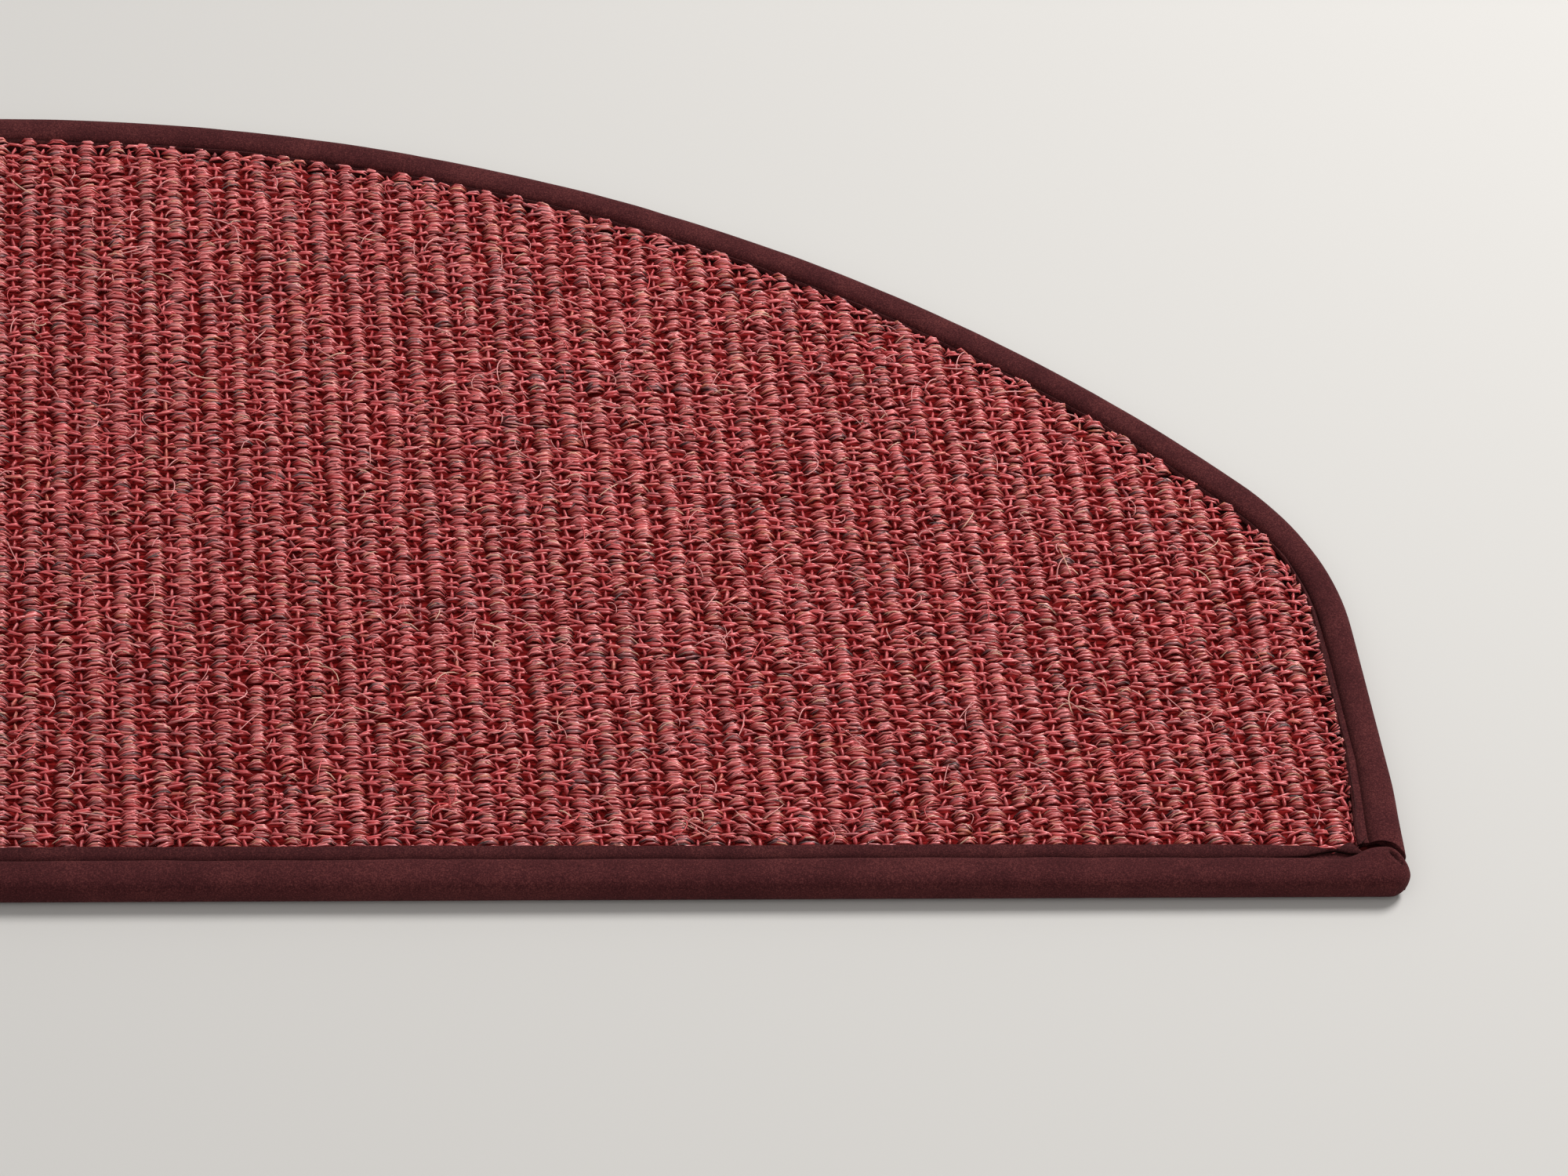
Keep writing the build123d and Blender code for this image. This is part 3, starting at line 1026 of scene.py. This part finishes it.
def makeCurvedBinding(material):
    reach = tape["rollWidth"] + fold["swell"] + fold["gap"]
    path, inward = outlinePath(frontY + reach, 3.2 * mm)
    # the first and last stretch are cut to follow the fold, so they get more sections
    extra = np.array([0, 0.25, 0.5, 0.9, 1.4, 2.0, 2.7]) * mm
    first = np.column_stack([np.full(len(extra), sideX), frontY + reach + extra])
    path = np.concatenate([first, path[1:-1], first[::-1] * (-1, 1)])
    inward = np.concatenate([[(-1.0, 0.0)] * len(extra), inward[1:-1], [(1.0, 0.0)] * len(extra)])
    travel = np.concatenate([[0], np.cumsum(np.linalg.norm(np.diff(path, axis=0), axis=1))])
    fromCut = np.minimum(travel, travel[-1] - travel)
    rippleFine = ripple(travel, 0, travel[-1], 240, 4)
    rippleSlow = ripple(travel, 0, travel[-1], 240, 13)
    steady = smoothStep(fromCut, 2 * mm, 12 * mm)
    alongSide = np.where(np.abs(path[:, 0]) > shoulderX, path[:, 1], apexY)
    spread = sideSpread(alongSide)
    back = smoothStep(alongSide - frontY, *sideTape["backFrom"])
    width = (tape["rollWidth"] - sideTape["narrow"] * (1 - back) + 0.8 * np.clip(spread, 0, None)
             + rippleSlow * 0.9 * steady)
    drop = 0.3 * mm * (1 - smoothStep(fromCut, 0, 3 * mm))
    height = tape["rollHeight"] + rippleFine * 0.35 * steady - drop
    lap = sideLap + spread + (rippleFine * 0.9 + rippleSlow * 1.4) * steady
    deeper, deeperSide = sideTape["sideGroove"]
    groove = tape["groove"] - deeper - deeperSide * (1 - back) + rippleSlow * 0.5
    crease, closing = sideTape["trench"]
    trench = crease - closing * back + rippleFine * 0.6 * (1 - back)
    top = tape["bandTop"] - sideTape["backDrop"] * back
    hollow = smoothStep(fromCut, 0.1 * mm, 0.8 * mm)
    tuck = sideTape["endTuck"] * (1 - smoothStep(fromCut, -2 * mm, 22 * mm))
    sections, lights = tapeSections(width - tuck, height, lap - tuck, tape["leg"], groove, trench,
                                    0.0, top, 1.0, hollow, tape["sideSquare"])
    # painted shade in the crease and on the flat band, less of it round the back
    onSide, lessBehind = sideTape["shade"]
    shade = 1 - (1 - lights) * (onSide - lessBehind * back)[:, None]
    flat = path[:, None] + inward[:, None] * (sections[..., :1] + tuck[:, None, None])
    cut = foldEdge(np.clip(sections[..., 0] - outline["cornerBack"], 0, None)) + fold["gap"] - reach
    outer = np.clip(1 - sections[..., 0] / (3.4 * mm), 0, 1)
    cut = cut - sideTape["endSlant"] * outer**2
    flat[..., 1] += cut * (1 - smoothStep(fromCut, 0.5 * mm, 12 * mm))[:, None]
    # the cut end leans back under itself, so the gap stays dark
    under = np.clip(tape["rollHeight"] - sections[..., 1], 0, 3 * mm)
    flat[..., 1] += sideTape["endLean"] * under * (1 - smoothStep(fromCut, 0, 4 * mm))[:, None]
    points = np.concatenate([flat, sections[..., 1:]], -1)
    tips = np.stack([points[0].mean(0), points[-1].mean(0)]) + (0, 6 * mm, 0)
    return sweepTape("curved_binding", points, tips, travel, shade, material)


suede = {
    "deep": (0.036, 0.0082, 0.0092),
    "nap": (0.064, 0.0142, 0.0158),
    "fleck": (0.135, 0.035, 0.033),
    "grain": 3000.0,              # noise scales, fine to coarse
    "tuft": 1300.0,
    "patch": 90.0,
    "roughness": 0.95,
    "specular": 0.08,
    "sheen": 0.06,
    "sheenRoughness": 0.5,
    "sheenTint": (0.9, 0.35, 0.35),
    "bump": 0.45,
    "bumpDepth": 0.2 * mm,
}


def suedeMaterial():
    material, tree, shader = newMaterial("suedeTape")

    def plus(value, share, other):
        return addNode(tree, "Math", {0: value, 1: share, 2: other}, operation="MULTIPLY_ADD").outputs[0]

    fine, tuft = objectNoise(tree, suede["grain"], 0.6), objectNoise(tree, suede["tuft"], 0.6)
    mottled = plus(tuft, 0.4, plus(objectNoise(tree, suede["patch"]), 0.35, fine))
    spread = addNode(tree, "MapRange", {"Value": mottled, "From Min": 0.66, "From Max": 1.12})
    colour = colourRamp(tree, spread.outputs["Result"],
                        ((0.0, suede["deep"]), (0.48, suede["nap"]), (1.0, suede["fleck"])))
    # the painted shade of the creases and the flat band darkens the colour
    crease = addNode(tree, "VertexColor", layer_name="creaseShade").outputs["Color"]
    shaded = addNode(tree, "Mix", {"Factor": 1.0, "A": colour, "B": crease},
                     data_type="RGBA", blend_type="MULTIPLY")
    bump = addNode(tree, "Bump", {"Strength": suede["bump"], "Distance": suede["bumpDepth"],
                                  "Height": fine})
    setInputs(shader, {
        "Base Color": shaded.outputs["Result"], "Normal": bump.outputs["Normal"],
        "Roughness": suede["roughness"], "Specular IOR Level": suede["specular"],
        "Sheen Weight": suede["sheen"], "Sheen Roughness": suede["sheenRoughness"],
        "Sheen Tint": (*suede["sheenTint"], 1)})
    return material


suedeTape = suedeMaterial()
frontBinding = makeFrontBinding(suedeTape)
curvedBinding = makeCurvedBinding(suedeTape)
for piece, node in ((frontBinding, "binding_front"), (curvedBinding, "binding_curved")):
    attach(piece, "root")
    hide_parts(node)
print("bindings swept")


# Floor and light: each lamp has its place, its size across and its power
studio = {
    "floor": (0.64, 0.62, 0.59),
    "floorRoughness": 0.8,
    "softbox": ((0.95, 0.55, 1.20), 0.6, 20.5),
    "fill": ((-0.6, -1.2, 1.4), 1.6, 6),
    "daylight": 0.36,
}


def makeFloor():
    bpy.ops.mesh.primitive_plane_add(size=8, location=(0, 0, -0.2 * mm))
    floor = bpy.context.object
    floor.name = "floor"
    material, tree, shader = newMaterial("floorPaint")
    setInputs(shader, {"Base Color": (*studio["floor"], 1), "Roughness": studio["floorRoughness"]})
    floor.data.materials.append(material)


def makeLight(name):
    place, size, power = studio[name]
    data = bpy.data.lights.new(name, "AREA")
    data.shape = "DISK"
    data.size = size
    data.energy = power
    lamp = addToScene(bpy.data.objects.new(name, data))
    lamp.location = place
    lamp.rotation_euler = (-Vector(place)).to_track_quat("-Z", "Y").to_euler()


makeFloor()
makeLight("softbox")
makeLight("fill")
world = bpy.data.worlds.new("studio")
bpy.context.scene.world = world
world.use_nodes = True
setInputs(world.node_tree.nodes["Background"], {"Color": (1, 1, 1, 1), "Strength": studio["daylight"]})
bpy.context.scene.view_settings.view_transform = "Standard"
print("floor and light ready")
